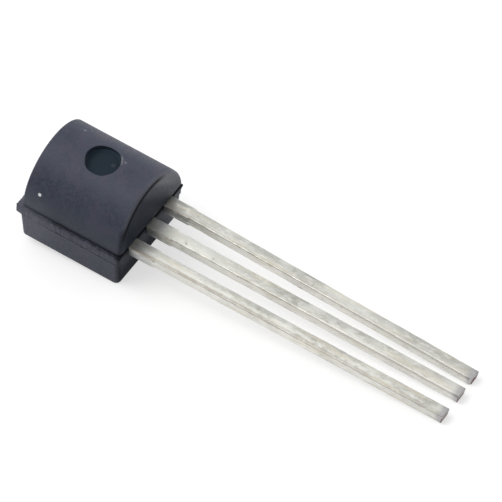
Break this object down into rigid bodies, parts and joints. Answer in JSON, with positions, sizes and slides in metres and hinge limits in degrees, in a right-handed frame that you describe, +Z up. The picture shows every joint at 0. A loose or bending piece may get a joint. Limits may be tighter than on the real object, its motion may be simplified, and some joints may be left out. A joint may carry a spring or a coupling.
{
  "type": "temperature sensor",
  "caption": "Temperature sensor in a D-shaped moulded plastic package, rounded above and flat beneath, with straight tinned leads in a row for soldering into a board.",
  "frame": {"origin": "on the surface that the part lies on, under the middle of its bounding box", "axes": "+X along the leads, from the body to the tips; +Y across the leads, from lead_3 to lead_1; +Z up from the surface. The package is tipped about Y as it comes to rest: on the front edge of its flat and on the undersides of the lead tips."},
  "size_m": [0.0196, 0.0046, 0.0046],
  "materials": {
    "resin": "satin",
    "tinned_lead": "matte",
    "die_adhesive": "matte",
    "silicon": "polished",
    "bond_gold": "polished"
  },
  "bodies": {
    "root": {"moulded_body": "resin", "lead_1": "tinned_lead", "lead_2": "tinned_lead", "lead_3": "tinned_lead", "die_attach": "die_adhesive", "sensor_die": "silicon", "bond_wire_1": "bond_gold", "bond_wire_2": "bond_gold", "bond_wire_3": "bond_gold"}
  },
  "joints": []
}
